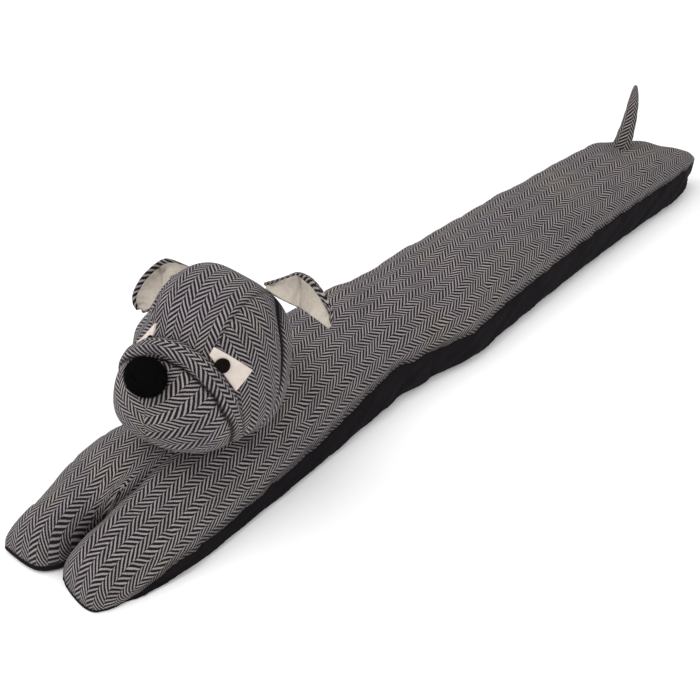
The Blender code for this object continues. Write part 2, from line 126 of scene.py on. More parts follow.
def newPiece(name, points, faces, corners, slot, node=None, shade=None):
    # one mesh from whole arrays: points, groups of faces and the cloth place of every face corner
    points = points.reshape(-1, 3) + frameShift
    mesh = bpy.data.meshes.new(name)
    mesh.from_pydata(points.tolist(), [], [f for g in faces for f in g.tolist()])
    layer = mesh.uv_layers.new(name="clothPlace")
    layer.data.foreach_set("uv", np.concatenate([c.reshape(-1) for c in corners]))
    mesh.polygons.foreach_set("use_smooth", np.ones(len(mesh.polygons), bool))
    # painted shade per point: how far the colour is darkened in creases, gaps and seams
    attribute = mesh.attributes.new("hollow", "FLOAT", "POINT")
    attribute.data.foreach_set("value", np.zeros(len(points)) if shade is None else shade.ravel())
    mesh.materials.append(finishes[slot])
    mesh.update()
    piece = bpy.data.objects.new(name, mesh)
    bpy.context.scene.collection.objects.link(piece)
    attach(piece, "root")
    if node:
        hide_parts(node)
    return piece


# Materials
def addNode(tree, kind, *inputs, **settings):
    # one node: its kind and operation, what it reads in order or by name, and its own settings
    kind, *operation = kind.split()
    node = tree.nodes.new("ShaderNode" + kind)
    if operation:
        node.operation = operation[0]
    for key, value in settings.items():
        setattr(node, key, value)
    named = inputs[0] if inputs and isinstance(inputs[0], dict) else dict(enumerate(inputs))
    for key, value in named.items():
        if isinstance(value, bpy.types.Node):
            value = value.outputs[0]
        if isinstance(value, bpy.types.NodeSocket):
            tree.links.new(value, node.inputs[key])
        else:
            node.inputs[key].default_value = value
    return node


def newMaterial(name, roughness, sheen, gloss=0.1):
    # a matt fabric: no metal, hardly any gloss, a little light caught by the loose fibres
    material = bpy.data.materials.new(name)
    material.use_nodes = True
    shader = material.node_tree.nodes["Principled BSDF"]
    for key, value in (("Metallic", 0.0), ("Roughness", roughness), ("IOR", 1.45),
                       ("Specular IOR Level", gloss), ("Sheen Weight", sheen),
                       ("Sheen Roughness", 0.6), ("Sheen Tint", linearColour("FFFFFF"))):
        shader.inputs[key].default_value = value
    return material, partial(addNode, material.node_tree), shader


def dyed(add, tones, low, high, dark, light):
    # from the dark to the light dye as the tone goes from low to high
    share = add("MapRange", {"Value": tones, "From Min": low, "From Max": high})
    return add("Mix", {"Factor": share, 6: linearColour(dark), 7: linearColour(light)}, data_type="RGBA")


def finishCloth(add, shader, colour, height, strength, depth, shadeColour=None):
    # the colour, darkened by the painted shade stored on each point in creases, gaps and seams, and the
    # relief of threads or fibres
    if shadeColour:
        hollow = add("Attribute", attribute_name="hollow")
        colour = add("Mix", {"Factor": hollow.outputs["Fac"], 6: colour.outputs[2],
                      7: linearColour(shadeColour)}, data_type="RGBA")
    bump = add("Bump", {"Strength": strength, "Distance": depth, "Height": height})
    links = shader.id_data.links
    links.new(colour.outputs[2], shader.inputs["Base Color"])
    links.new(bump.outputs[0], shader.inputs["Normal"])


# Wool herringbone, woven: light weft floats over dark warp in arms that turn at each column.
# It gives zigzag strokes with beaded edges, a hairy matt surface and a faint purple cast.
def herringboneWool():
    material, add, shader = newMaterial("herringbone wool, woven", 0.92, 0.03)
    place = add("UVMap", uv_map="clothPlace")
    ownPlace = add("TexCoord").outputs["Object"]
    noise = add("TexNoise", {"Vector": ownPlace, "Scale": 55.0, "Detail": 2.0})
    centred = add("VectorMath SUBTRACT", noise.outputs["Color"], (0.5, 0.5, 0.5))
    drift = add("VectorMath SCALE", {0: centred, 3: cloth["drift"]})
    moved = add("VectorMath ADD", place, drift)
    axes = add("SeparateXYZ", moved)
    across, along = axes.outputs["X"], axes.outputs["Y"]
    column = add("Math DIVIDE", across, cloth["halfColumn"])
    arm = add("Math PINGPONG", column, 1.0)
    columnNumber = add("Math FLOOR", column)
    odd = add("Math FLOORED_MODULO", columnNumber, 2.0)
    run = add("Math DIVIDE", along, cloth["stroke"])
    slant = cloth["halfColumn"] / cloth["stroke"] * cloth["slope"]
    slanted = add("Math MULTIPLY_ADD", arm, slant, run)
    phase = add("Math MULTIPLY_ADD", odd, 0.5, slanted)
    wave = add("Math PINGPONG", phase, 0.5)
    # beads of single yarns along each stroke
    yarns = add("Math DIVIDE", across, cloth["thread"] * 2)
    bead = add("Math PINGPONG", yarns, 0.5)
    fibres = add("TexNoise", {"Vector": moved, "Scale": 1500.0, "Detail": 3.0, "Roughness": 0.7})
    rough = add("Math SUBTRACT", fibres, 0.5)
    roughWave = add("Math MULTIPLY_ADD", rough, 0.42, wave)
    beadWave = add("Math MULTIPLY_ADD", bead, 0.12, roughWave)
    light = add("MapRange", {"Value": beadWave, "From Min": 0.245, "From Max": 0.415},
                interpolation_type="SMOOTHSTEP")
    # each stroke has its own brightness, as the yarn is unevenly dyed
    strokeNumber = add("Math FLOOR", phase)
    strokePlace = add("CombineXYZ", strokeNumber, columnNumber)
    strokeTone = add("TexWhiteNoise", {"Vector": strokePlace}, noise_dimensions="2D")
    patch = add("TexNoise", {"Vector": ownPlace, "Scale": 22.0, "Detail": 3.0})
    tone = add("Math MULTIPLY_ADD", strokeTone, 0.22, 0.62)
    tonePatch = add("Math MULTIPLY_ADD", patch, 0.3, tone)
    fleck = add("Math MULTIPLY_ADD", rough, 0.9, tonePatch)
    yarn = dyed(add, patch, 0.4, 0.6, cloth["light"], cloth["lightWarm"])
    lit = add("Mix", {"Factor": 1.0, 6: yarn.outputs[2], 7: fleck}, data_type="RGBA",
              blend_type="MULTIPLY")
    woven = add("Mix", {"Factor": light, 6: linearColour(cloth["dark"]), 7: lit.outputs[2]},
                data_type="RGBA")
    relief = add("Math MULTIPLY_ADD", light, 0.6, beadWave)
    # near-black painted shade in creases, gaps and seams
    finishCloth(add, shader, woven, relief, 0.55, 0.00035, "080708")
    return material


# Plain woven cotton: a fine even grid of yarns, with the cloth's creases in the mesh
def plainCotton(name, light, dark, roughness, sheen):
    material, add, shader = newMaterial(name, roughness, sheen)
    place = add("UVMap", uv_map="clothPlace")
    ownPlace = add("TexCoord").outputs["Object"]
    axes = add("SeparateXYZ", place)
    waves = []
    for axis in "XY":
        turn = add("Math MULTIPLY", axes.outputs[axis], 2 * np.pi / cloth["cottonThread"])
        waves.append(add("Math SINE", turn))
    weave = add("Math MULTIPLY", waves[0], waves[1])
    slub = add("TexNoise", {"Vector": ownPlace, "Scale": 420.0, "Detail": 4.0, "Roughness": 0.65})
    cloud = add("TexNoise", {"Vector": ownPlace, "Scale": 38.0, "Detail": 2.0})
    tone = add("Math MULTIPLY_ADD", weave, 0.16, slub)
    tones = add("Math MULTIPLY_ADD", cloud, 0.6, tone)
    relief = add("Math MULTIPLY_ADD", weave, 0.5, slub)
    # darkened towards near-black by the painted shade in seams and creases
    finishCloth(add, shader, dyed(add, tones, 0.45, 1.15, dark, light), relief, 0.35, 0.0002, "120E0C")
    return material


# Pressed wool felt: no weave, only matted fibres a tenth of a millimetre thick
def woolFelt(name, light, dark, sheen, gloss):
    material, add, shader = newMaterial(name, 0.95, sheen, gloss)
    ownPlace = add("TexCoord").outputs["Object"]
    fibres = add("TexNoise", {"Vector": ownPlace, "Scale": 1300.0, "Detail": 5.0, "Roughness": 0.75,
                  "Distortion": 1.5})
    cloud = add("TexNoise", {"Vector": ownPlace, "Scale": 160.0, "Detail": 2.0})
    tones = add("Math MULTIPLY_ADD", cloud, 0.5, fibres)
    finishCloth(add, shader, dyed(add, tones, 0.5, 1.0, dark, light), fibres, 0.5, 0.0002)
    return material


finishes = {
    "tweed": herringboneWool(),
    "black_cotton": plainCotton("cotton, woven and dyed black", "1A171A", "0E0C0E", 0.85, 0.0),
    "cream_cotton": plainCotton("cotton, woven and undyed", "C2B9AE", "A69C90", 0.9, 0.05),
    "cream_felt": woolFelt("felt, pressed wool, cream", "D8CEC6", "C2B6AC", 0.1, 0.1),
    "black_felt": woolFelt("felt, pressed wool, black", "17110F", "090706", 0.0, 0.06),
    "black_plush": woolFelt("plush, short cut pile, black", "0D0E0D", "050505", 0.0, 0.03),
}
print("materials ready")

# Body: upper panel of wool, lower panel of cotton, meeting at a seam all round
body = {
    # along the body: x, left edge, right edge, seam height, top of the crown, side bulge
    "stations": (
        (-0.5, 0.045, -0.05, 0.033, 0.058, 0.004),
        (-0.456, 0.0485, -0.0535, 0.035, 0.064, 0.006),
        (-0.381, 0.048, -0.0565, 0.037, 0.0695, 0.006),
        (-0.286, 0.0475, -0.061, 0.038, 0.0725, 0.006),
        (-0.177, 0.0495, -0.067, 0.036, 0.074, 0.006),
        (-0.098, 0.0515, -0.0712, 0.033, 0.075, 0.007),
        (-0.036, 0.0545, -0.0732, 0.031, 0.0745, 0.006),
        (0.011, 0.046, -0.0755, 0.033, 0.074, 0.006),
        (0.04, 0.0435, -0.0795, 0.035, 0.073, 0.007),
        (0.06, 0.0395, -0.0815, 0.036, 0.0725, 0.008),
        (0.08, 0.0405, -0.0825, 0.034, 0.0735, 0.009),
        (0.114, 0.0425, -0.0835, 0.028, 0.0755, 0.008),
        (0.171, 0.047, -0.082, 0.02, 0.0755, 0.0065),
        (0.232, 0.0515, -0.0825, 0.0185, 0.0725, 0.0045),
        (0.286, 0.0548, -0.083, 0.0158, 0.068, 0.0028),
        (0.32, 0.057, -0.0865, 0.016, 0.0647, 0.0018),
        (0.342, 0.0575, -0.0855, 0.0164, 0.0621, 0.0014),
        (0.362, 0.0555, -0.0805, 0.015, 0.0594, 0.001),
        (0.383, 0.052, -0.075, 0.0122, 0.0565, 0.0008),
        (0.405, 0.0488, -0.0705, 0.0098, 0.0535, 0.0008),
    ),
    # ends: place across (right edge -1, left edge 1), x
    "tailEnd": (
        (-1.0, -0.372), (-0.93, -0.394), (-0.83, -0.411), (-0.66, -0.428),
        (-0.45, -0.442), (-0.25, -0.455), (0.0, -0.466), (0.2, -0.473),
        (0.42, -0.4835), (0.65, -0.4955), (0.84, -0.503), (0.93, -0.5025), (1.0, -0.494),
    ),
    "pawEnd": (
        (-1.0, 0.3845), (-0.99, 0.404), (-0.975, 0.42), (-0.95, 0.43), (-0.915, 0.435),
        (-0.87, 0.4372),
        (-0.78, 0.4378), (-0.64, 0.4376), (-0.5, 0.437), (-0.36, 0.4356),
        (-0.25, 0.433), (-0.12, 0.424), (-0.075, 0.418), (-0.04, 0.409),
        (-0.01, 0.399), (0.015, 0.3905), (0.036, 0.3872), (0.056, 0.396),
        (0.076, 0.415), (0.105, 0.4232), (0.15, 0.425), (0.275, 0.4272),
        (0.474, 0.4292), (0.62, 0.4297), (0.722, 0.429), (0.78, 0.4278), (0.821, 0.4262),
        (0.882, 0.4205), (0.934, 0.414), (0.978, 0.4035), (1.0, 0.3845),
    ),
    "rows": 560,
    "columns": 122,
    # place across of the valley between the legs and of the gap between the paws, by x
    "notch": ((0.33, 0.15), (0.35, 0.15), (0.362, 0.12), (0.372, 0.08), (0.384, 0.048),
              (0.4, 0.036)),
    # how far the crown has parted into two legs, by x: a soft valley, then a web, then the gap
    "legs": ((0.285, 0.0), (0.315, 0.1), (0.335, 0.22), (0.352, 0.3), (0.362, 0.38), (0.372, 0.62),
             (0.382, 0.92), (0.392, 1.0)),
    "grooveFloor": 0.04,
    "sideWall": ((0.95, 0.0), (1.03, 0.0), (1.0, 0.5), (1.0, 1.0)),
    "sideWallStart": 0.8,
    "tailRounding": 0.034,
    "pawRounding": 0.036,
    "crownPower": 2.5,
    "legPower": 2.9,
    "seamGap": 0.0003,
    "seamTuck": 0.0011,
    "seamWander": (0.00045, 0.0005),   # sideways and up
    "unevenness": 0.00055,
    "puckerDepth": 0.001,
    "nickDepth": 0.0016,
    # degrees that the columns are turned on the cloth, by x: left half, right half
    "turns": (
        (-0.5, 0.0, 0.0), (-0.26, 0.5, 0.5), (-0.16, 4.5, 4.5), (0.0, 6.5, 6.5), (0.12, 7.5, 7.5),
        (0.2, 7.0, 8.0), (0.28, 4.0, 9.0), (0.36, 0.5, 10.5), (0.46, 0.0, 11.0),
    ),
    "frontWall": 0.009,       # how far the lower panel's front wall slopes in
    "frontBulge": 0.0015,
    "nickAt": 0.02,           # x of the sewn nick in the left seam
    "crowding": 0.72,         # how much closer the rows stand towards both ends
    "puckers": ((0.043, 1.0, 0.3), (0.0271, 0.7, 2.0), (0.0172, 0.55, 4.1), (0.0113, 0.35, 1.2)),
}
stations = np.array(body["stations"])


def station(x, column):
    # one column of the table of stations, at x
    return smoothTable(x, stations[:, 0], stations[:, column])


def endsAt(v):
    # x of the tail end and of the paw end, by place across
    return [smoothTable(v, *np.array(body[end]).T) for end in ("tailEnd", "pawEnd")]


def notchAt(x):
    # place across of the valley between the legs
    return np.interp(x, *np.array(body["notch"]).T)


def seamHeight(x, v):
    # table along the body; it drops at the paws' fronts, most of all along the left paw
    drop = easeStep(x, 0.384, 0.416) * (0.12 + 0.4 * easeStep(-v, 0.8, 0.96))
    drop = drop + 0.6 * easeStep(x, 0.352, 0.394) * easeStep(v, 0.1, 0.25)
    return station(x, 3) * (1 - drop)


def crownAt(x, v, parted=True):
    # seam height + (crown top and lumps above the seam) * superellipse across * rounded ends
    left, right, top = (station(x, k) for k in (1, 2, 4))
    seam = seamHeight(x, v)
    y = (left + right) / 2 + v * (left - right) / 2
    tail, paws = endsAt(v)
    notch, legs = notchAt(x), np.interp(x, *np.array(body["legs"]).T)
    lobe = np.where(v > notch, (2 * v - 1 - notch) / (1 - notch), (2 * v + 1 - notch) / (1 + notch))
    wide = np.clip(1 - np.abs(v) ** body["crownPower"], 0, 1) ** 0.5
    paired = np.clip(1 - np.abs(lobe) ** body["legPower"], body["grooveFloor"] ** 2, 1) ** 0.5
    across = wide * (1 - legs) + np.minimum(wide, paired) * legs if parted else wide
    fromTail = np.clip((x - tail) / body["tailRounding"], 0, 1)
    fromPaws = np.clip((paws - x) / body["pawRounding"], 0, 1)
    ends = np.sqrt(1 - (1 - fromTail) ** 2) * np.sqrt(1 - (1 - fromPaws) ** 2)
    lumps = 0.0013 * (np.sin(46 * x + 25 * y) + np.sin(71 * x - 63 * y + 1.3))
    z = seam + (top + lumps - seam) * across * ends + body["seamGap"] / 2
    return y, z, seam, fromTail, fromPaws


def bodyCloth(x, v, fromTail, fromPaws, y3, z3):
    # across: arc length of a plain cross-section, less the drift of the turned columns;
    # the extra length down into the valley is counted from the top of each leg
    # along: x + (angle - its sine) * rounding, the extra length of a rounded end
    at = np.linspace(stations[0, 0], stations[-1, 0], 90)
    v1 = v[0]
    left, right, seam, top = (station(at, k)[:, None] for k in (1, 2, 3, 4))
    y = (left + right) / 2 + v1[None, :] * (left - right) / 2
    z = seam + (top - seam) * np.clip(1 - np.abs(v1[None, :]) ** body["crownPower"], 0, 1) ** 0.5
    girth = runningSum(np.hypot(np.diff(y, axis=1), np.diff(z, axis=1)))
    girth -= girth[:, [int(np.argmin(np.abs(v1)))]]
    across = np.stack([np.interp(x[:, k], at, girth[:, k]) for k in range(len(v1))], axis=1)
    fine = np.linspace(-0.52, 0.47, 200)
    knots = np.array(body["turns"])
    drifts = []
    for column in (1, 2):
        slope = np.tan(np.radians(np.interp(fine, knots[:, 0], knots[:, column])))
        drift = runningSum((slope[1:] + slope[:-1]) / 2 * np.diff(fine))
        drifts.append(np.interp(x, fine, drift - np.interp(0.2, fine, drift)))
    onLeft = easeStep(v, -0.15, 0.25)
    across = across - drifts[0] * onLeft - drifts[1] * (1 - onLeft)
    plain = crownAt(x, v, False)[1]
    run = np.diff(y3, axis=1)
    extra = np.hypot(run, np.diff(z3, axis=1)) - np.hypot(run, np.diff(plain, axis=1))
    extra = runningSum(extra * (np.abs(v[:, 1:]) < 0.47))
    extra = np.where(v > notchAt(x), extra - extra[:, -1:], extra)
    paws, tail = 1 - fromPaws, 1 - fromTail
    along = x + body["pawRounding"] * (np.arcsin(paws) - paws)
    along = along - body["tailRounding"] * (np.arcsin(tail) - tail)
    return across + extra * easeStep(x, 0.28, 0.31), along


def crownHeight(x, y):
    # the same surface, asked for by its place on the floor; nothing outside the outline
    left, right = station(x, 1), station(x, 2)
    v = (y - (left + right) / 2) / ((left - right) / 2)
    z = crownAt(x, np.clip(v, -1, 1))[1]
    return np.where(np.abs(v) < 1, z, -1.0)


def placesAcross():
    # crowded towards both edges, with more columns beside the gap between the paws
    w = np.linspace(-1, 1, body["columns"] - 12)
    edgeward = np.sin(np.pi / 2 * w)
    beside = body["notch"][-1][1] + np.array(
        [-.05, -.035, -.022, -.012, -.005, 0, .005, .012, .022, .035, .05, .065, .08, .095, .11, .125])
    keep = np.abs(edgeward[:, None] - beside[None, :]).min(axis=1) > 0.006
    return np.unique(np.concatenate([edgeward[keep], beside, [-1, 1]]))


def bodySheet(upper):
    # rows from the tail end to the paws, columns from the right edge to the left one
    v1 = placesAcross()
    s = np.linspace(0, 1, body["rows"])
    t = s - body["crowding"] * np.sin(2 * np.pi * s) / (2 * np.pi)
    tail, paws = endsAt(v1)
    x = tail[None, :] * (1 - t[:, None]) + paws[None, :] * t[:, None]
    v = np.broadcast_to(v1, x.shape)
    y, z, seam, fromTail, fromPaws = crownAt(x, v)
    side, reach = np.sign(v), np.abs(v)
    left, right = station(x, 1), station(x, 2)
    # the seam wanders by half a millimetre, and both panels follow it
    sideways, upwards = body["seamWander"]
    ruffle = sideways * ripple(x + 0.31 * (side > 0), body["puckers"])
    rise = upwards * ripple(x + 0.17 * (side > 0), ((0.037, 1.0, 1.1), (0.0213, 0.6, 0.2)))
    if upper:
        edge = reach ** 14
        y = y + side * (ruffle * edge - body["seamTuck"] * reach ** 60)
        # soft unevenness of the filling, and small puckers that die away from the seam
        inside = np.sin(np.pi * fromTail / 2) * np.sin(np.pi * fromPaws / 2)
        filling = (np.sin(118 * x + 60 * y + 0.4) + np.sin(170 * x - 95 * y + 2)
                   + 0.6 * np.sin(74 * x + 210 * y + 1))
        fall = np.clip((1 - reach) * (left - right) / 2 / 0.02, 0, 1)
        pucker = fall * (1 - fall) * 4 * np.clip(ripple(x, body["puckers"]) - 0.2, 0, 2)
        z = z + rise * edge + np.clip(1 - reach ** 8, 0, 1) * inside * body["unevenness"] * filling
        z = z - body["puckerDepth"] * pucker * inside
        z = z - body["nickDepth"] * hump(x, body["nickAt"], 0.01) * (v > 0) * hump(reach, 0.8, 0.3)
    else:
        share, height = wallAt(reach)
        # front and rear walls: 1 - (1 - s^2.6)^(1/2.6), s counted back from the end
        toEnd = np.minimum(fromTail * body["tailRounding"], fromPaws * body["pawRounding"])
        s = np.clip(1 - toEnd / body["frontWall"], 0, 1)
        endHeight = 1 - (1 - s ** 2.6) ** (1 / 2.6)
        lift = np.maximum(height, endHeight)
        x = x + body["frontBulge"] * np.sin(np.pi * endHeight ** 0.6) * np.where(x > 0, 1, -1)
        spread = station(x, 5) * np.sin(np.pi * height ** 0.6)
        wall = np.sin(np.pi * np.clip(height, 0, 1) ** 0.8)
        creases = 0.0007 * ripple(x + 0.31 * (side > 0) + 0.1 * height, body["puckers"])
        creases = creases - 0.0018 * hump(x + 0.006 * height, body["nickAt"], 0.0035) * (v > 0)
        edge = np.clip(height, 0, 1) ** 3
        # towards the ends the side walls give way to the outline, so that the corners stay round
        inward = easeStep(toEnd, 0.001, 0.033)
        share = reach + (share - reach) * inward
        y = (left + right) / 2 + side * (share * (left - right) / 2 + (spread + wall * creases) * inward
                                         + edge * ruffle - body["seamTuck"] * height ** 12)
        z = (seam - body["seamGap"] / 2) * lift + rise * edge * (lift > 0)
    return x, y, z, seam, rise, v, fromTail, fromPaws


def wallAt(place):
    # cubic curve from the flat underside up to the seam, by share of the way across
    start = body["sideWallStart"]
    s = np.clip((place - start) / (1 - start), 0, 1)[..., None]
    a, b, c, d = np.array(body["sideWall"])
    curve = a * (1 - s) ** 3 + 3 * b * s * (1 - s) ** 2 + 3 * c * s * s * (1 - s) + d * s ** 3
    return np.where(s[..., 0] > 0, curve[..., 0], place / start * a[0]), curve[..., 1]


def bodyPanel(name, upper, slot, node):
    # one panel with its rim on the seam, closed along the seam and at both ends
    x, y, z, seam, rise, v, fromTail, fromPaws = bodySheet(upper)
    rows, columns = x.shape
    rim = np.ones((rows, columns), bool)
    rim[1:-1, 1:-1] = False
    z = np.where(rim, seam + rise + body["seamGap"] / 2 * (1 if upper else -1), z)
    across, along = bodyCloth(x, v, fromTail, fromPaws, y, z) if upper else (y + np.sign(v) * z, x)
    place = np.stack([across, along], axis=2).reshape(-1, 2)
    # the seam side is closed with one strip for each row, and one face at each end
    index = np.arange(rows * columns).reshape(rows, columns)
    strip = np.stack([index[1:-2, 0], index[1:-2, -1], index[2:-1, -1], index[2:-1, 0]], axis=1)
    tailRing = np.concatenate([index[1, :1], index[0], index[1, -1:]])
    pawRing = np.concatenate([index[-2, :1], index[-1], index[-2, -1:]])[::-1]
    faces = [quads(rows, columns), strip, tailRing[None, :], pawRing[None, :]]
    if not upper:
        faces = [f[:, ::-1] for f in faces]
    # painted shade in the groove of the seam along both edges
    shade = np.clip(hump(np.abs(v), 1.0, 0.012), 0, 1) * 0.5
    if upper:
        # painted shade: deep shadow in the gap between the paws, and a softer shade along the valley between
        # the legs
        apart = v - notchAt(x)
        gap = hump(apart, -0.01, 0.045) * easeStep(x, 0.366, 0.382)
        gap = np.maximum(gap, 0.55 * hump(apart, 0.0, 0.05) * easeStep(x, 0.315, 0.352))
        shade = np.maximum(shade, gap)
    points = np.stack([x, y, z], axis=2)
    newPiece(name, points, faces, [place[f] for f in faces], slot, node, shade)


bodyPanel("wool_upper_panel", True, "tweed", "body_top")
bodyPanel("cotton_lower_panel", False, "black_cotton", "body_base")
print("body ready")

# Head: a face, a strip behind it, a muzzle, and a wrinkle fold round the muzzle
head = {
    "place": (0.2585, -0.0112, 0.1373),
    "turn": 14.0,
    "lift": 12.0,
    "tilt": 3.0,
    "settle": 0.01,
    # middle, half sizes (forward, left, up), roundness
    "face": ((0.0, 0.002, 0.001), (0.06, 0.0612, 0.08), 2.25),
    "back": ((-0.029, -0.001, -0.006), (0.031, 0.0595, 0.066), 2.7),
    "muzzle": ((0.038, -0.0005, -0.02), (0.051, 0.052, 0.052), 2.15),
    "nose": ((0.083, -0.0045, 0.018), (0.015, 0.017, 0.0156), 2.0),
    "faceRear": 0.038,        # half size of the face behind its middle, at the sides
    "faceBelow": 0.066,       # half size below its middle
    "temple": 0.17,           # share by which the right temple is pressed in
    "crownHollow": 0.0055,    # how much flatter the crown is, left of its middle
    "chinRecede": 0.75,
    "seamDepth": (0.0009, 0.0014),    # of the crown's and of the chin's seams
    "crownSeam": 63.0,        # degrees from the left ear side to the seam of the crown strip
    "clothRadius": 0.066,
    "crownCloth": 0.078,
    "crownLength": 0.071,
    "stripCloth": (0.06, 0.066),      # across and along
    "muzzleCloth": 0.045,
    # degrees that the columns of crown, cheeks and muzzle are turned from fore-aft or upright
    "crownTurn": 5.0,
    "cheekTurn": 12.0,
    "muzzleTurn": 27.0,
}
headTurn = (Matrix.Rotation(np.radians(head["turn"]), 3, "Z")
            @ Matrix.Rotation(np.radians(-head["lift"]), 3, "Y")
            @ Matrix.Rotation(np.radians(head["tilt"]), 3, "X"))
headTurn = np.array(headTurn)


def placed(points):
    # from the head's own directions (forward, left, up) to the maker's frame
    return points @ headTurn.T + np.array(head["place"])


def restOnBody(points, gap=0.0005):
    # nothing of the head goes below the body's crown: it is pressed flat there
    floor = crownHeight(points[..., 0], points[..., 1])
    out = points.copy()
    out[..., 2] = np.maximum(points[..., 2], floor + gap)
    return out


def roundedForm(directions, form, grow=0.0, stretched=None):
    # superellipsoid: middle + direction / (sum of |direction / half size| to the power) to 1/power
    middle, half, power = form
    measured = directions if stretched is None else stretched
    size = (np.abs(measured / (np.array(half) + grow)) ** power).sum(axis=-1) ** (-1 / power)
    return np.array(middle) + directions * size[..., None]


def settled(points, form):
    # the lower half made fuller, by the square of the depth below its middle
    depth = np.clip((form[0][2] - points[..., 2]) / form[1][2], 0, None)
    out = points.copy()
    out[..., 2] -= head["settle"] * depth ** 2
    return out


def facePoints(directions, grow=0.0):
    # rounded form, shorter behind, with bell-shaped swellings: cheek, brow, hollow under the eye
    half = head["face"][1]
    stretched = directions.copy()
    beside = easeStep(np.abs(directions[..., 1]), 0.45, 0.85)
    shorter = 1 + (half[0] / head["faceRear"] - 1) * beside
    stretched[..., 0] *= np.where(stretched[..., 0] < 0, shorter, 1.0)
    stretched[..., 2] *= np.where(stretched[..., 2] < 0, half[2] / head["faceBelow"], 1.0)
    points = settled(roundedForm(directions, head["face"], grow, stretched), head["face"])
    # the right temple is pressed in, and the crown is flatter left of its middle
    up = points[..., 2]
    pressed = easeStep(up, 0.016, 0.044) * (1 - 0.5 * easeStep(up, 0.05, 0.075))
    points[..., 1] *= 1 - head["temple"] * pressed * easeStep(-points[..., 1], 0.0, 0.03)
    points[..., 2] -= head["crownHollow"] * hump(points[..., 1], 0.014, 0.024) * easeStep(up, 0.03, 0.07)
    forward, side, up = np.moveaxis(directions, -1, 0)
    side = np.abs(side)
    swell = 0.0
    for at, width, size in (((0.1, 0.9, -0.42), 0.4, 0.004), ((0.55, 0.42, 0.72), 0.26, 0.0035),
                            ((0.72, 0.6, 0.32), 0.24, -0.003)):
        apart = (forward - at[0]) ** 2 + (side - at[1]) ** 2 + (up - at[2]) ** 2
        swell = swell + size * np.exp(-apart / width ** 2)
    return points + directions * swell[..., None]


def backPoints(directions):
    # the strip's rounded form, settled as the face is
    return settled(roundedForm(directions, head["back"]), head["back"])


def muzzlePoints(directions):
    # the form, its lower half wider and drawn back to the neck by the square of the depth
    middle, half, _ = head["muzzle"]
    points = settled(roundedForm(directions, head["muzzle"]), head["muzzle"])
    below = np.clip(middle[2] - points[..., 2], 0, None)
    wider = np.where(points[..., 1] < 0, 0.16, -0.06)
    points[..., 1] *= 1 + wider * easeStep(below, 0.0, 0.045)
    points[..., 0] -= head["chinRecede"] * np.minimum(below, half[2]) ** 2 / half[2]
    return points


def globe(shape, polar, columns, clothPlace):
    # closed form with its poles at left and right; every face corner gets its own cloth place
    around = np.arange(columns) * 2 * np.pi / columns - np.pi
    p, a = np.meshgrid(polar[1:-1], around, indexing="ij")
    directions = np.stack([np.sin(p) * np.cos(a), np.cos(p), np.sin(p) * np.sin(a)], axis=2)
    poles = np.array([[0.0, 1.0, 0.0], [0.0, -1.0, 0.0]])
    points = np.concatenate([shape(directions).reshape(-1, 3), shape(poles)])
    step = 2 * np.pi / columns
    # a cell's corners run (row, next column), (next row, next column), (next row, column), (row, column)
    a0, p0, p1 = a[:-1], p[:-1], p[1:]
    corners = [clothPlace(np.stack([p0, p1, p1, p0], axis=-1).reshape(-1, 4),
                          np.stack([a0 + step, a0 + step, a0, a0], axis=-1).reshape(-1, 4))]
    faces = [quads(*p.shape, closed=True)[:, ::-1]]
    ring = np.arange(columns)
    rims = [[np.roll(ring, -1), ring], [ring + p.size - columns, np.roll(ring, -1) + p.size - columns]]
    turned = [[around + step, around], [around, around + step]]
    for k, (pole, near) in enumerate(((0.0, polar[1]), (np.pi, polar[-2]))):
        faces.append(np.stack([np.full(columns, p.size + k), *rims[k]], axis=1))
        corners.append(clothPlace(np.tile([pole, near, near], (columns, 1)),
                                  np.stack([around + step / 2, *turned[k]], axis=1)))
    angles = (np.concatenate([p.ravel(), [0, np.pi]]), np.concatenate([a.ravel(), [0, 0]]))
    return points, faces, corners, angles


def sidePlace(p, a, upright, radius, turn):
    # distance from the nearer ear side, laid out flat round it: columns run up, or else forward
    reach = np.minimum(p, np.pi - p) * radius
    a = a + np.radians(turn)
    forward, up = reach * np.cos(a), reach * np.sin(a)
    mirror = np.where(p.mean(axis=-1, keepdims=True) > np.pi / 2, -1.0, 1.0)
    return np.stack([forward * mirror, up], -1) if upright else np.stack([up * mirror, forward], -1)


def faceCloth(p, a):
    # the crown strip runs from brow to neck; each cheek has its columns upright
    radius, edge = head["crownCloth"], np.radians(head["crownSeam"])
    middle = p.mean(axis=-1, keepdims=True)
    crown = np.stack([radius * (p - np.pi / 2), head["crownLength"] * a * np.sin(p) ** 0.5], -1)
    onCrown = (middle > edge) & (middle < np.pi - edge)
    crown[..., 0] -= crown[..., 1] * np.tan(np.radians(head["crownTurn"]))
    cheek = sidePlace(p, a, True, head["clothRadius"], head["cheekTurn"])
    return np.where(onCrown[..., None], crown, cheek)


def muzzleCloth(p, a):
    # laid out round the ear sides, with its columns forward
    return sidePlace(p, a, False, head["muzzleCloth"], head["muzzleTurn"])


def backCloth(p, a):
    # columns follow the strip round the head
    side, up, forward = np.cos(p), np.sin(p) * np.sin(a), np.sin(p) * np.cos(a)
    turn = np.arctan2(side, up)
    middle = turn[..., :1]
    turn = middle + (turn - middle + np.pi) % (2 * np.pi) - np.pi
    width, length = head["stripCloth"]
    return np.stack([width * forward, length * turn], -1)


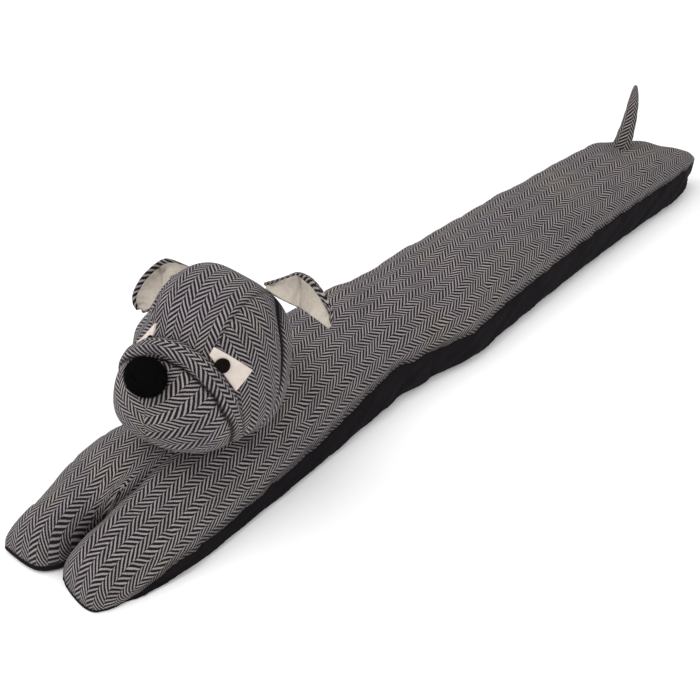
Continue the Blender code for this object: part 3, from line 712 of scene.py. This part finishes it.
def headPiece(name, shape, rows, columns, clothPlace, node, grooveShade=None, edges=()):
    # polar rows are set so that each seam angle in edges lies on a row
    polar = np.linspace(0, 1, rows + 1) * np.pi
    for edge in edges:
        polar[np.argmin(np.abs(polar - edge))] = edge
    points, faces, corners, angles = globe(shape, polar, columns, clothPlace)
    # painted shade from the seam angles, where the piece has any
    shade = grooveShade(*angles) if grooveShade else None
    newPiece(name, restOnBody(placed(points)), faces, corners, "tweed", node, shade)


def seamGroove(p, edge):
    # bell-shaped groove 1.4 mm wide on each side of a seam angle
    return hump(p * head["clothRadius"], edge * head["clothRadius"], 0.0014)


def crownGroove(p):
    # the two seams of the crown strip
    edge = np.radians(head["crownSeam"])
    return seamGroove(p, edge) + seamGroove(p, np.pi - edge)


def chinGroove(p, a):
    # the seam from under the nose down the chin
    return seamGroove(p, np.pi / 2) * easeStep(-a, -0.1, 0.35)


def faceShape(directions):
    # the face, less the grooves of its seams along each direction
    p = np.arccos(np.clip(directions[..., 1], -1, 1))
    return facePoints(directions) - directions * (head["seamDepth"][0] * crownGroove(p))[..., None]


def muzzleShape(directions):
    # the muzzle, less the groove of its chin seam
    p = np.arccos(np.clip(directions[..., 1], -1, 1))
    a = np.arctan2(directions[..., 2], directions[..., 0])
    return muzzlePoints(directions) - directions * (head["seamDepth"][1] * chinGroove(p, a))[..., None]


crownEdge = np.radians(head["crownSeam"])
# the face and the muzzle carry painted shade along the grooves of their seams
headPiece("face", faceShape, 150, 230, faceCloth, "head_face", lambda p, a: 0.35 * crownGroove(p),
          (crownEdge, np.pi - crownEdge))
headPiece("head_back_strip", backPoints, 110, 180, backCloth, "head_back")
headPiece("muzzle_ball", muzzleShape, 130, 200, muzzleCloth, "muzzle",
          lambda p, a: 0.4 * chinGroove(p, a), (np.pi / 2,))
print("head ready")

# Wrinkle fold: a soft tube over the muzzle, right half mirrored
fold = {
    "path": (   # forward, side, up, half width
        (0.061, 0.0, 0.034, 0.0085), (0.059, 0.013, 0.032, 0.0085),
        (0.056, 0.025, 0.026, 0.0088), (0.0515, 0.0355, 0.014, 0.0095),
        (0.045, 0.043, -0.004, 0.0108), (0.0345, 0.0455, -0.024, 0.0098),
        (0.0235, 0.0435, -0.043, 0.008), (0.017, 0.0385, -0.056, 0.0058),
    ),
    # how much lower the right half hangs, by row of the path
    "rightLower": (0.0, 0.0025, 0.0045, 0.004, 0.002, 0.0, 0.0, 0.0),
    "rings": 150,
    "sides": 40,
}


def tubeAlong(path, halves, squash, sideways, sides):
    # ellipse carried along a path: path + cos(turn) * sideways + sin(turn) * outward
    rings = len(path)
    tangent = unit(np.gradient(path, axis=0))
    across = unit(sideways - (sideways * tangent).sum(1)[:, None] * tangent)
    out = np.cross(tangent, across)
    turn = np.arange(sides) * 2 * np.pi / sides
    ring = (np.cos(turn)[None, :, None] * across[:, None, :] * halves[:, None, None]
            + np.sin(turn)[None, :, None] * out[:, None, :] * (halves * squash)[:, None, None])
    length = runningSum(steps(path))
    row, column = np.meshgrid(np.arange(rings - 1), np.arange(sides), indexing="ij")
    rowOf = np.stack([row, row + 1, row + 1, row], -1).reshape(-1, 4)
    columnOf = np.stack([column, column, column + 1, column + 1], -1).reshape(-1, 4)
    girth = halves.mean() * 2 * np.pi / sides
    corners = np.stack([columnOf * girth + 0.004, length[rowOf]], -1)
    corners = [corners[:, ::-1], *[np.zeros((1, sides, 2))] * 2]
    return path[:, None, :] + ring, tubeFaces(rings, sides), corners


def foldPiece():
    # the left half and its mirror image as one path, its width tapered by 1 - place^14
    half = np.array(fold["path"])
    right = half * (1, -1, 1, 1)
    right[:, 2] -= fold["rightLower"]
    knots = np.concatenate([right[:0:-1], half])
    rings = fold["rings"]
    at = np.linspace(0, len(knots) - 1, rings)
    path = np.stack([smoothTable(at, np.arange(len(knots)), knots[:, k]) for k in range(4)], axis=1)
    taper = np.sqrt(np.clip(1 - np.abs(np.linspace(-1, 1, rings)) ** 14, 0.01, 1))
    outward = unit(path[:, :3] - np.array(head["muzzle"][0]))
    # small cross wrinkles where the fold turns down the cheeks
    waves = 1 + 0.03 * ripple(np.linspace(0, 0.24, rings), ((0.031, 1.0, 0.4), (0.019, 0.7, 2.2)))
    points, faces, corners = tubeAlong(path[:, :3], path[:, 3] * taper * waves, 1.0, outward,
                                       fold["sides"])
    newPiece("wrinkle_fold_roll", restOnBody(placed(points)), faces, corners, "tweed", "wrinkle_fold")


foldPiece()
print("fold ready")


def places(name):
    # all vertices of a piece as one array
    vertices = bpy.data.objects[name].data.vertices
    flat = np.empty(len(vertices) * 3)
    vertices.foreach_get("co", flat)
    return flat.reshape(-1, 3)


def darken(name, other, low, high, share, besideOnly=False):
    # painted shade in the crease beside another piece: share * (1 - smooth step of the distance to its
    # nearest vertex);
    # besideOnly keeps it to the left and right of the head, not over its rear
    others = places(other)
    tree = kdtree.KDTree(len(others))
    for k, place in enumerate(others):
        tree.insert(place, k)
    tree.balance()
    points = places(name)
    apart = np.array([tree.find(place)[2] for place in points])
    if besideOnly:
        local = (points - frameShift - np.array(head["place"])) @ headTurn
        beside = np.where(local[:, 1] > 0, local[:, 1], -local[:, 1] - 0.01)
        share = share * easeStep(beside, 0.026, 0.038) * easeStep(local[:, 0], -0.05, -0.04)
    attribute = bpy.data.objects[name].data.attributes["hollow"]
    shade = np.empty(len(apart))
    attribute.data.foreach_get("value", shade)
    attribute.data.foreach_set("value", np.maximum(shade, share * (1 - easeStep(apart, low, high))))


# painted shade in the gaps between the face and the strip behind it, and in the creases round the wrinkle
# fold
darken("face", "head_back_strip", 0.0018, 0.0056, 1.0, True)
darken("head_back_strip", "face", 0.0018, 0.0062, 1.0, True)
darken("muzzle_ball", "wrinkle_fold_roll", 0.0008, 0.0032, 0.9)
darken("wrinkle_fold_roll", "muzzle_ball", 0.0006, 0.0026, 0.85)
darken("wrinkle_fold_roll", "face", 0.0006, 0.002, 0.45)
darken("face", "wrinkle_fold_roll", 0.0006, 0.002, 0.45)
print("creases ready")

# Eyes: a felt patch with four corners, and a round pupil sewn over its lower edge
eyes = {
    # four corners of each patch, and the middle of its pupil
    "left": ((0.0492, 0.0333, 0.0434), (0.0274, 0.0573, 0.021), (0.0403, 0.051, 0.0048),
             (0.0511, 0.0307, 0.0355), (0.0456, 0.0396, 0.0265)),
    "right": ((0.0508, -0.0208, 0.047), (0.0387, -0.0425, 0.0119), (0.0471, -0.0348, -0.0042),
              (0.0536, -0.0208, 0.0369), (0.0538, -0.0215, 0.029)),
    "patchThickness": 0.0014,
    "patchSize": (0.022, 0.034),      # height and width, about
    "rolledEdge": 0.0012,
    "pupilRadius": 0.0061,
    "pupilCut": (0.0124, 0.000121),   # width and area before it is sewn on
    "pupilSides": 48,
    "lift": 0.0004,
}


def slab(low, high):
    # closed sheet between two grids of the same size, with the cloth place of each corner
    rows, columns = low.shape[:2]
    points = np.concatenate([low.reshape(-1, 3), high.reshape(-1, 3)])
    below = np.arange(rows * columns).reshape(rows, columns)
    lift = rows * columns
    cells = quads(rows, columns)
    ring = np.concatenate([below[:-1, 0], below[-1, :-1], below[:0:-1, -1], below[0, :0:-1]])
    after = np.roll(ring, -1)
    wall = np.stack([ring, after, after + lift, ring + lift], axis=1)
    along = runningSum(steps(high[:, columns // 2]))
    across = runningSum(steps(high, 1).mean(axis=0))
    place = np.stack(np.broadcast_arrays(across[None, :], along[:, None]), -1).reshape(-1, 2)
    place = np.concatenate([place, place])
    faces = [cells[:, ::-1] + lift, cells, wall[:, ::-1]]
    return points, *flipOut(points, faces, [place[f] for f in faces])


def flipOut(points, faces, corners):
    # turns every face round if the closed shape's volume comes out negative
    volume = 0.0
    for group in faces:
        for k in range(1, group.shape[1] - 1):
            a, b, c = points[group[:, 0]], points[group[:, k]], points[group[:, k + 1]]
            volume += (a * np.cross(b, c)).sum() / 6
    if volume < 0:
        faces, corners = [f[:, ::-1] for f in faces], [c[:, ::-1] for c in corners]
    return faces, corners


def sheetPiece(name, low, high, slot, node, shade=None):
    # a closed sheet on the head, kept above the body
    points, faces, corners = slab(low, high)
    return newPiece(name, restOnBody(placed(points)), faces, corners, slot, node, shade)


def facePatch(corners, rows, columns, lift):
    # four corners spread over the face form, each direction carried out to the face plus lift
    middle = np.array(head["face"][0])
    a, b, c, d = (np.array(corner) - middle for corner in corners)
    u = np.linspace(0, 1, rows)[:, None, None]
    w = np.linspace(0, 1, columns)[None, :, None]
    spread = a * (1 - u) * (1 - w) + b * (1 - u) * w + c * u * w + d * u * (1 - w)
    return facePoints(unit(spread), lift), u[..., 0], w[..., 0]


def sheetArea(grid):
    # sum of the grid's cells, each taken as a parallelogram
    down, over = grid[1:, :-1] - grid[:-1, :-1], grid[:-1, 1:] - grid[:-1, :-1]
    return float(np.linalg.norm(np.cross(down, over), axis=2).sum())


def eyePair(tag):
    # patch between two offsets of the face form, and a pupil of stacked circles
    low, u, w = facePatch(eyes[tag][:4], 26, 36, -0.0006)
    high = facePatch(eyes[tag][:4], 26, 36, eyes["lift"] + eyes["patchThickness"])[0]
    # the cut edge rolls down over a millimetre
    tall, wide = eyes["patchSize"]
    edge = np.minimum(np.minimum(u, 1 - u) * tall, np.minimum(w, 1 - w) * wide)
    rolled = np.sqrt(1 - (1 - np.clip(edge / eyes["rolledEdge"], 0, 1)) ** 2)[..., None]
    high = low + (high - low) * (0.35 + 0.65 * rolled)
    patch = sheetPiece("felt_eye_" + tag, low, high, "cream_felt", "eye_patch_" + tag)
    wide = float(steps(high, 1).sum(axis=1).max())
    tall = float(steps(high).sum(axis=0).max())
    min(sheetArea(high), wide * tall)
    centre = np.array(eyes[tag][4]) - np.array(head["face"][0])
    outward = unit(centre)
    flat = unit(np.cross(outward, (0.0, 0.0, 1.0)))
    other = np.cross(flat, outward)
    sides = eyes["pupilSides"]
    turn = np.arange(sides) * 2 * np.pi / sides
    base = eyes["lift"] + eyes["patchThickness"] - 0.0003
    stack = []
    for radius, lift in ((0.96, 0.0), (1.0, .0004), (1.0, .001), (0.975, .0015), (0.92, .0018),
                         (0.8, .0019), (0.55, .002), (0.28, .002), (0.05, .002)):
        reach = eyes["pupilRadius"] * radius
        ring = centre + reach * (np.cos(turn)[:, None] * flat + np.sin(turn)[:, None] * other)
        stack.append(facePoints(unit(ring), base + lift))
    points = np.concatenate(stack)
    faces = tubeFaces(len(stack), sides)
    flatPlace = points @ np.stack([flat, other], axis=1)
    faces, place = flipOut(points, faces, [flatPlace[f] for f in faces])
    pupil = newPiece("felt_pupil_" + tag, placed(points), faces, place, "black_felt", "pupil_" + tag)


for tag in ("left", "right"):
    eyePair(tag)
print("eyes ready")

# Nose: a stuffed ball of plush with short pile
nose = {"fibres": 9000, "pile": 0.0018, "fibreWidth": 0.0002}


def noseBall():
    # the ball, and its pile as loose spikes on it
    form = head["nose"]

    def shape(directions):
        # rounded form with a fine unevenness, as the pile lies in tufts
        forward, side, up = np.moveaxis(directions, -1, 0)
        tufts = 0.00025 * (np.sin(31 * side + 17 * up) * np.sin(27 * forward - 23 * up))
        return roundedForm(directions, form) + directions * tufts[..., None]

    points, faces, corners, _ = globe(shape, np.linspace(0, np.pi, 61), 90, muzzleCloth)
    newPiece("plush_nose", placed(points), faces, corners, "black_plush", "nose")
    # pile: thin three-sided spikes on a golden-angle spread over the ball, each leaning a little
    count = nose["fibres"]
    draw = np.random.default_rng(7)
    k = np.arange(count) + 0.5
    tilt, turn = np.arccos(1 - 2 * k / count), np.pi * (1 + 5 ** 0.5) * k
    directions = np.stack([np.cos(turn) * np.sin(tilt), np.sin(turn) * np.sin(tilt), np.cos(tilt)],
                          axis=1)
    directions = directions[directions[:, 0] > -0.35]
    count = len(directions)
    roots = shape(directions) - directions * 0.0002
    lean = unit(directions + draw.normal(0, 0.38, (count, 3)))
    tips = roots + lean * (nose["pile"] * draw.uniform(0.6, 1.25, count))[:, None]
    sideA = unit(np.cross(lean, draw.normal(0, 1, (count, 3))))
    sideB = np.cross(lean, sideA)
    half = nose["fibreWidth"] / 2
    feet = [roots + half * (np.cos(b) * sideA + np.sin(b) * sideB) for b in (0, 2.0944, 4.1888)]
    points = np.stack([*feet, tips], axis=1)
    base = np.arange(count)[:, None] * 4
    faces = [base + np.array(f)[None, :] for f in ((0, 1, 3), (1, 2, 3), (2, 0, 3), (2, 1, 0))]
    newPiece("plush_nose_pile", placed(points), faces, [np.zeros((count, 3, 2))] * 4, "black_plush")


noseBall()
print("nose ready")

# Ears: wool outside, cream cotton inside, folded over at the top
ears = {
    # root to tip, outer edge then inner edge: forward, side, up, forward, side, up
    "left": (
        (-0.036, 0.0268, 0.0617, -0.032, 0.0305, 0.06), (-0.035, 0.0378, 0.0696, -0.029, 0.0419, 0.0583),
        (-0.034, 0.049, 0.0777, -0.03, 0.0532, 0.0558), (-0.036, 0.0561, 0.0816, -0.037, 0.0619, 0.0505),
        (-0.033, 0.069, 0.0818, -0.03, 0.0738, 0.0518), (-0.031, 0.0812, 0.0744, -0.026, 0.0832, 0.0511),
        (-0.029, 0.0907, 0.0634, -0.025, 0.0899, 0.049), (-0.028, 0.093, 0.0477, -0.026, 0.0928, 0.0462),
    ),
    "right": (
        (-0.031, -0.034, 0.0575, -0.018, -0.033, 0.054), (-0.026, -0.0506, 0.0622, -0.013, -0.0445, 0.0543),
        (-0.02, -0.0576, 0.0645, -0.012, -0.0492, 0.0467), (-0.018, -0.0658, 0.0585, -0.016, -0.0553, 0.0377),
        (-0.014, -0.0762, 0.0447, -0.011, -0.0575, 0.0305), (-0.011, -0.0824, 0.029, -0.007, -0.0599, 0.0239),
        (-0.01, -0.0817, 0.0188, -0.006, -0.0644, 0.019), (-0.01, -0.0775, 0.0137, -0.007, -0.0705, 0.0158),
    ),
    "grid": (90, 32),         # rows and columns
    "wool": 0.002,            # thickness
    "lining": 0.0012,
    "rolledEdge": 0.0012,
    "cupped": 0.004,
    "rowLength": 0.011,
    # how far the wool shows beside the lining, by row of the table
    "rim": {"left": ((0, 0.0014), (2.8, 0.0016), (3.5, 0.0062), (4.5, 0.0085), (6, 0.008), (7, 0.005)),
            "right": ((0, 0.0036), (2, 0.0044), (7, 0.004))},
    "foldAt": 3.0,            # row of the table where the ear folds over
}


def earGrid(table, rows, columns, rim=((0, 0.0), (7, 0.0)), wEnd=1.0, tEnd=1.0):
    # straight lines between two edge curves, cupped back by a sine across
    table = np.array(table)
    at = np.linspace(0, (len(table) - 1) * tEnd, rows)
    ends = np.stack([smoothTable(at, np.arange(len(table)), table[:, k]) for k in range(6)], axis=1)
    width = np.linalg.norm(ends[:, 3:] - ends[:, :3], axis=1)
    start = np.clip(np.interp(at, *np.array(rim).T) / width, 0, 0.6)[:, None]
    w = (start + (wEnd - start) * np.linspace(0, 1, columns)[None, :])[..., None]
    grid = ends[:, None, :3] * (1 - w) + ends[:, None, 3:] * w
    grid[..., 0] -= ears["cupped"] * np.sin(np.pi * w[..., 0])
    normal = unit(np.cross(np.gradient(grid, axis=0), np.gradient(grid, axis=1)))
    normal *= np.sign(normal[..., :1].mean())
    width = np.linalg.norm(grid[:, -1] - grid[:, 0], axis=1)[:, None]
    return grid, normal, at[:, None], w[..., 0], width


def declareEar(grid, width):
    # works out the cut size, the widest row by the length along the middle, and does nothing with it
    wide = float(width.max())
    length = float(steps(grid[:, grid.shape[1] // 2]).sum())
    min(sheetArea(grid), wide * length)


def ear(side):
    # wool and lining, each a sheet between two offsets of the ear's own grid
    table, rimTable = ears[side], ears["rim"][side]
    rows, columns = ears["grid"]
    grid, normal, at, w, width = earGrid(table, rows, columns)
    tipAway = (len(table) - 1 - at) * ears["rowLength"]
    rimEdge = np.minimum(w * width, tipAway)
    edge = np.minimum(rimEdge, (1 - w) * width)
    # the sewn edge is a soft roll that stands a little over the lining
    roll = np.sqrt(1 - (1 - np.clip(edge / ears["rolledEdge"], 0, 1)) ** 2)
    over = 0.0014 * easeStep(np.interp(at, *np.array(rimTable).T) - rimEdge, -0.0006, 0.0006)
    back = grid - normal * (ears["wool"] * (0.15 + 0.85 * roll))[..., None]
    front = grid + normal * (over * roll)[..., None]
    outer = sheetPiece("wool_ear_" + side, back, front, "tweed", "ear_" + side)
    declareEar(grid, width)
    # lining: inside the rim on the outer edge and tip, flush on the inner edge
    grid, normal, at, w, width = earGrid(table, rows, columns, rimTable, 0.985, 0.955)
    crease = hump(at, ears["foldAt"], 0.12) * np.ones_like(w)
    soft = 0.0005 * ripple(at * 0.011 + w * 0.012, ((0.019, 1.0, .3), (0.0083, .5, 1.7)))
    top = ears["lining"] + 0.0003 + soft - 0.0011 * crease
    # painted shade: a band along the fold crease, and a little over the whole lining, most on the right ear,
    # which lies in shade
    shade = 0.3 * crease * easeStep(-w, -0.75, -0.2) + (0.2 if side == "right" else 0.05)
    if side == "right":
        # a pinch stitch draws the lining in, with painted shade in the pinch
        pinch = hump(at, 2.75, 0.55) * hump(w, 0.42, 0.09)
        top = top - 0.0013 * pinch
        shade = np.maximum(shade, 0.5 * pinch)
    low = grid + normal * 0.0002
    high = grid + normal * np.maximum(top, 0.0004)[..., None]
    lining = sheetPiece("cotton_ear_lining_" + side, low, high, "cream_cotton", "ear_lining_" + side,
                        np.concatenate([shade, shade]))
    declareEar(grid, width)


for side in ("left", "right"):
    ear(side)
print("ears ready")

# Tail: a flattened cone of wool that stands on the body
tail = {"foot": (-0.405, -0.0118, 0.06), "lean": (-0.003, -0.001, 0.087), "half": (0.007, 0.0118),
        "bow": 0.003, "narrowing": 0.56}


def tailPiece():
    # tube up a bowed path, half width * (1 - narrowing * place), rounded at the tip
    rings, sides = 110, 40
    s = np.linspace(0, 1, rings)
    bow = np.stack([0 * s, tail["bow"] * np.sin(np.pi * s), 0 * s], axis=1)
    path = np.array(tail["foot"]) + s[:, None] * np.array(tail["lean"]) + bow
    halves = tail["half"][1] * (1 - tail["narrowing"] * s) * np.sqrt(np.clip(1 - s ** 8, 0.0004, 1))
    halves = halves * (1 + 0.02 * ripple(s * 0.09, ((0.021, 1.0, 0.2), (0.013, 0.6, 1.9))))
    points, faces, corners = tubeAlong(path, halves, tail["half"][0] / tail["half"][1],
                                       np.array([[0.0, 1.0, 0.0]]), sides)
    faces, corners = flipOut(points.reshape(-1, 3), faces, corners)
    newPiece("wool_tail", points, faces, corners, "tweed", "tail")


tailPiece()
print("tail ready")

# Camera, floor and light
camera = {
    "place": (0.7915, 0.5561, 0.8154),
    "yaw": 3.8085,
    "pitch": 0.7056,
    "roll": 0.0948,
    "focal": 1248.9,          # in pixels of a picture 700 wide
}


def standAt(thing, axes, place):
    # puts a camera or lamp into the scene, by its three directions and its place
    bpy.context.scene.collection.objects.link(thing)
    matrix = Matrix.Identity(4)
    for k, axis in enumerate(axes):
        matrix.col[k][:3] = axis.tolist()
    matrix.translation = place
    thing.matrix_world = matrix


def makeCamera():
    # ahead from yaw and pitch; right and up turned about it by the roll
    yaw, pitch, roll = camera["yaw"], camera["pitch"], camera["roll"]
    ahead = np.array([np.cos(yaw) * np.cos(pitch), np.sin(yaw) * np.cos(pitch), -np.sin(pitch)])
    right = unit(np.cross(ahead, (0.0, 0.0, 1.0)))
    up = np.cross(right, ahead)
    data = bpy.data.cameras.new("photograph view")
    data.sensor_width = 36.0
    data.lens = camera["focal"] * 36.0 / 700
    data.clip_end = 20.0
    view = bpy.data.objects.new("photograph view", data)
    axes = (np.cos(roll) * right + np.sin(roll) * up, np.cos(roll) * up - np.sin(roll) * right, -ahead)
    standAt(view, axes, (np.array(camera["place"]) + frameShift).tolist())
    bpy.context.scene.camera = view


def makeFloor():
    # one flat sheet of paper under the part
    material, _, shader = newMaterial("seamless paper, white", 0.9, 0.0)
    shader.inputs["Base Color"].default_value = linearColour("FBFBFB")
    mesh = bpy.data.meshes.new("studio_floor")
    mesh.from_pydata([(-6, -6, 0), (6, -6, 0), (6, 6, 0), (-6, 6, 0)], [], [(0, 1, 2, 3)])
    mesh.materials.append(material)
    floor = bpy.data.objects.new("studio_floor", mesh)
    bpy.context.scene.collection.objects.link(floor)


def softBox(name, place, target, size, power):
    # square lamp at its place, its back turned away from the target
    data = bpy.data.lights.new(name, "AREA")
    data.shape, data.size, data.energy = "SQUARE", size, power
    back = unit(np.array(place) - np.array(target))
    side = unit(np.cross((0.0, 0.0, 1.0), back))
    standAt(bpy.data.objects.new(name, data), (side, np.cross(back, side), back), place)


makeCamera()
makeFloor()
softBox("key light", (1.25, -0.75, 1.9), (0.1, 0.0, 0.05), 1.8, 32.0)
softBox("fill light", (0.3, 1.9, 1.3), (0.1, 0.0, 0.05), 1.8, 10.0)
world = bpy.data.worlds.new("white studio")
world.use_nodes = True
sky = world.node_tree.nodes["Background"].inputs
sky["Color"].default_value = (1.0, 1.0, 1.0, 1.0)
sky["Strength"].default_value = 0.86
bpy.context.scene.world = world
bpy.context.scene.view_settings.view_transform = "Standard"
print("studio ready")
